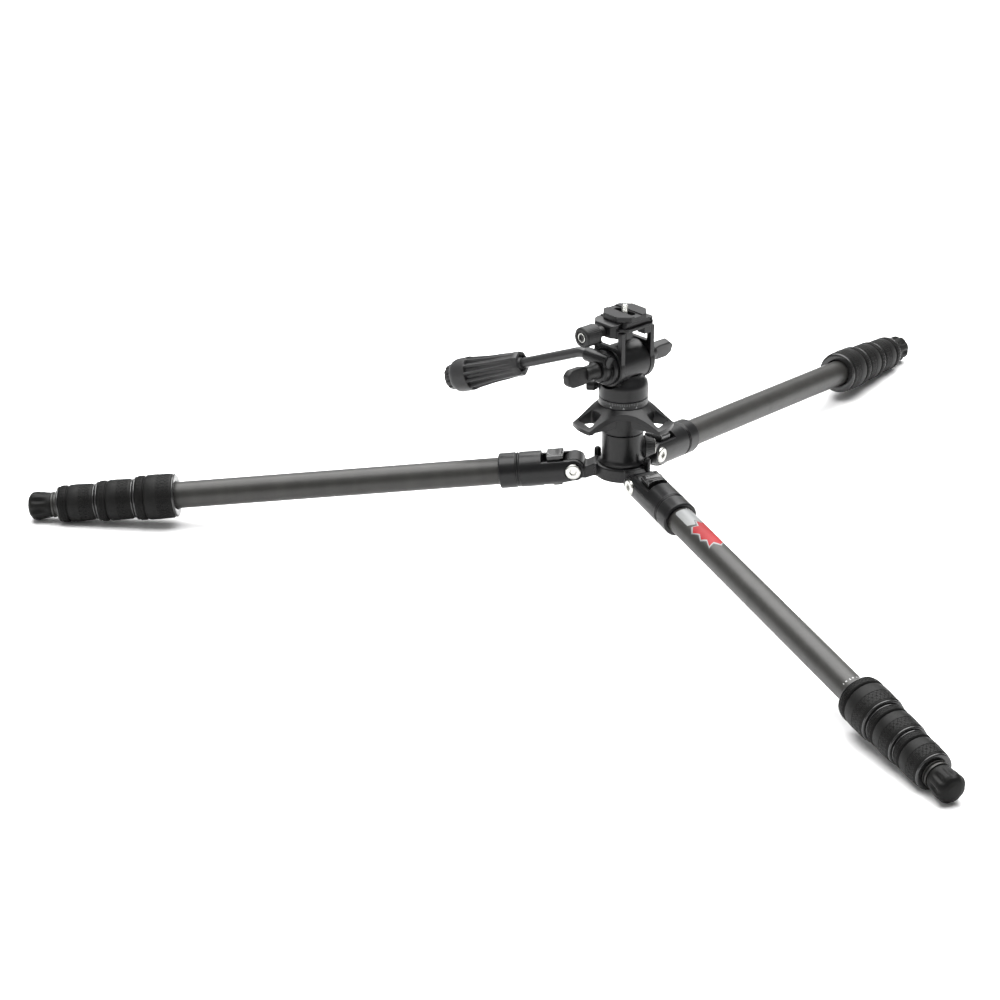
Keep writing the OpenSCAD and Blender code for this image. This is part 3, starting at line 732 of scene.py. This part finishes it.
def camera_screw():
    """The camera's quarter-inch screw, with its 20 threads to the inch cut as a real helix."""
    pitch, root, crest = 1.27, 2.45, 3.12

    def thread(height, angle, radius):
        if radius < 2.9 or height < 50.4:
            return radius
        phase = (height / pitch - angle / (2 * math.pi)) % 1
        taper = min(1, max(0, (56.2 - height) / 0.9))
        return root + (crest - root) * taper * (1 - abs(2 * phase - 1)) if height < 56.3 else radius
    profile = [(41, 0), (41, 6.4), (41.3, 6.6), (43.4, 6.6), (43.7, 6.4), (43.7, 2.85), (50.3, 2.85)]
    profile += [(50.5 + 0.14 * k, 3.0) for k in range(42)]
    profile += [(56.5, 2.3), (56.95, 1.7), (57.0, 0)]
    piece("camera_screw_look", lathe(profile, 64, thread), HEAD, "camera_screw", STEEL,
          ["camera_screw"], 70)


def handle_way():
    """The direction of the pan handle's straight part, from the bend to the grip."""
    level = math.cos(HANDLE_DROOP)
    return Vector((-math.sin(HANDLE_OUT) * level, math.cos(HANDLE_OUT) * level, -math.sin(HANDLE_DROOP)))


def handle_path(way):
    """Points and directions along the tube: its socket part, its bend and its straight part.
    Also gives where the bend ends and the direction square to both parts."""
    start = Vector((-29.8, 21, 9.6))
    bend = math.acos(way.y)
    side = Vector((way.x, 0, way.z)).normalized()
    forward = Vector((0, 1, 0))
    path = [(start + forward * (-28.2), forward), (start, forward)]
    for k in range(1, 17):
        a = bend * k / 16
        at = start + side * HANDLE_BEND_R * (1 - math.cos(a)) + forward * HANDLE_BEND_R * math.sin(a)
        path.append((at, forward * math.cos(a) + side * math.sin(a)))
    end = path[-1][0]
    path += [(end + way * 64, way), (end + way * 127, way)]
    return path, end, side.cross(forward).normalized()


def handle_tube(way):
    """The bent tube, swept along its path. Gives the point where the bend ends."""
    path, end, across = handle_path(way)
    count = 48
    bm = bmesh.new()
    rings = []
    for at, along in path:
        up = along.cross(across).normalized()
        rings.append([bm.verts.new(at + (across * math.cos(a) + up * math.sin(a)) * HANDLE_R)
                      for a in (2 * math.pi * i / count for i in range(count))])
    for first, second in zip(rings, rings[1:]):
        for i in range(count):
            j = (i + 1) % count
            bm.faces.new((first[i], first[j], second[j], second[i]))
    bm.faces.new(rings[0])
    bm.faces.new(rings[-1])
    piece("handle_tube_look", bm, HEAD, "handle", PAINT, ["handle_tube"], 50)
    return end


def grip_shape(height, angle, radius):
    """An eight-sided rim, twelve flutes that deepen towards the end, and twelve notches in the cap."""
    eight = math.cos(math.pi / 8) / math.cos(angle % (math.pi / 4) - math.pi / 8)
    faceted = min(1, max(0, (18 - height) / 12))
    r = radius * (1 - faceted * 0.8 * (1 - eight)) if radius > 8 else radius
    if 5 < height < 57.6 and radius > 10:
        wave = 0.5 + 0.5 * math.cos(12 * angle)
        opened = ((height - 5) / 52) ** 1.2
        r -= (0.5 + 2.7 * opened) * min(1, wave * 1.5) ** 1.2
    if 76.8 < height < 83.6 and radius > 9:
        r -= 1.5 * min(1, max(0, math.cos(12 * angle) * 3 - 0.6))
    return r


def handle_grip(end, way):
    """The grip, with a smooth band after its flutes and an end cap."""
    rim = [(0, 5.05), (3.2, 7.4), (0.6, 8.6), (0, 9.4), (0.25, 11.4), (1.4, 12.3), (5, 12.5)]
    body = resampled([(5, 12.5), (13, 12.4), (32, 13.2), (50, 15), (57.3, 16.1)], 1.5)
    tail = [(57.9, 16.35), (59, 16.4), (71, 16.35), (74.4, 15.4), (75.8, 14.4), (76.4, 12.9),
            (76.7, 12.35), (77.4, 12.4), (82.2, 12.2), (83.5, 11.4), (84, 10.2),
            (84, 6), (83.4, 5), (83.4, 0)]
    turn = way.to_track_quat("Z", "Y").to_matrix().to_4x4()
    place = HEAD @ Matrix.Translation(end * MM) @ turn @ shift(z=HANDLE_BARE)
    bm = lathe(rim + body[1:] + tail, 192, grip_shape)
    bmesh.ops.holes_fill(bm, edges=[e for e in bm.edges if e.is_boundary], sides=0)
    piece("handle_grip_look", bm, place, "handle", GRIP, ["handle_grip"], 34)


def head():
    """The head from the pan base up, with its knobs, plate and handle."""
    from_cad("pan_base", COLUMN, "pan", CASTING, 0.35, 3)
    from_cad("pan_knob", COLUMN, "pan_knob", PLASTIC, 0.4, 3)
    from_cad("tilt_drum", HEAD, "pan", CASTING, 0.35, 3)
    from_cad("yoke", HEAD, "tilt", CASTING, 0.35)
    from_cad("clamp_body", HEAD, "tilt", CASTING, 0.4, 3)
    from_cad("clamp_jaw", HEAD, "jaw", CASTING, 0.45, 3)
    clamp_knob()
    from_cad("quick_plate", HEAD, "plate", CASTING, 0.4, 3)
    pads()
    camera_screw()
    wing_knob("tilt_knob", HEAD @ shift(x=22.8) @ TO_X @ Matrix.Rotation(math.radians(18), 4, "Z"),
              16.5, 7.6, 14, 37.5, 8.6, 8.5)
    wing_knob("handle_knob", HEAD @ shift(x=-36.6) @ TO_BACK_X @ Matrix.Rotation(math.radians(10), 4, "Z"),
              8.4, 7.4, 14, 38, 8.6, 8.5)
    from_cad("handle_bracket", HEAD, "handle", CASTING, 0.3)
    way = handle_way()
    end = handle_tube(way)
    handle_grip(end, way)


# ---------------------------------------------------------------- studio

def floor():
    """A plain pale floor at the height of the part's lowest point."""
    bm = bmesh.new()
    bmesh.ops.create_grid(bm, x_segments=8, y_segments=8, size=9)
    mesh = bpy.data.meshes.new("floor")
    bm.to_mesh(mesh)
    bm.free()
    made = bpy.data.objects.new("floor", mesh)
    bpy.context.scene.collection.objects.link(made)
    made.location = (0, 0, cad_low.z)
    material, nodes, links, shader, coords = new_material("studio_floor")
    shader.inputs["Roughness"].default_value = 0.85
    tone = noise(nodes, links, coords, 3, 2)
    links.new(blend_colours(nodes, links, tone, (0.86, 0.86, 0.86), (0.89, 0.89, 0.89)),
              shader.inputs["Base Color"])
    mesh.materials.append(material)


def softbox(name, at, width, height, power):
    """A soft rectangular light that faces the object."""
    data = bpy.data.lights.new(name, "AREA")
    data.shape = "RECTANGLE"
    data.size, data.size_y = width, height
    data.energy = power
    made = bpy.data.objects.new(name, data)
    bpy.context.scene.collection.objects.link(made)
    made.location = at
    made.rotation_euler = (Vector(LIGHTS_AIM) - Vector(at)).to_track_quat("-Z", "Y").to_euler()


def studio():
    """An even white surrounding and three softboxes."""
    world = bpy.data.worlds.new("studio")
    bpy.context.scene.world = world
    world.use_nodes = True
    back = world.node_tree.nodes["Background"]
    back.inputs["Color"].default_value = (1, 1, 1, 1)
    back.inputs["Strength"].default_value = WORLD_LIGHT
    softbox("overhead", (0.35, 0.4, 2.3), 3.6, 3.6, 300)
    softbox("back", (2.3, 2.3, 1.7), 3.0, 1.6, 25)
    softbox("left", (-2.6, 0.9, 1.6), 2.0, 1.4, 14)


def camera():
    """A long lens that looks down on the object at three quarters."""
    data = bpy.data.cameras.new("camera")
    data.lens = CAMERA_LENS
    data.sensor_width = 36
    data.clip_start, data.clip_end = 0.1, 50
    made = bpy.data.objects.new("camera", data)
    bpy.context.scene.collection.objects.link(made)
    made.location = CAMERA_AT
    level = math.cos(CAMERA_DOWN)
    way = Vector((math.cos(CAMERA_TURN) * level, math.sin(CAMERA_TURN) * level, -math.sin(CAMERA_DOWN)))
    made.rotation_euler = way.to_track_quat("-Z", "Y").to_euler()
    bpy.context.scene.camera = made


legs()
column()
head()
floor()
studio()
camera()
bpy.context.scene.view_settings.view_transform = "Standard"
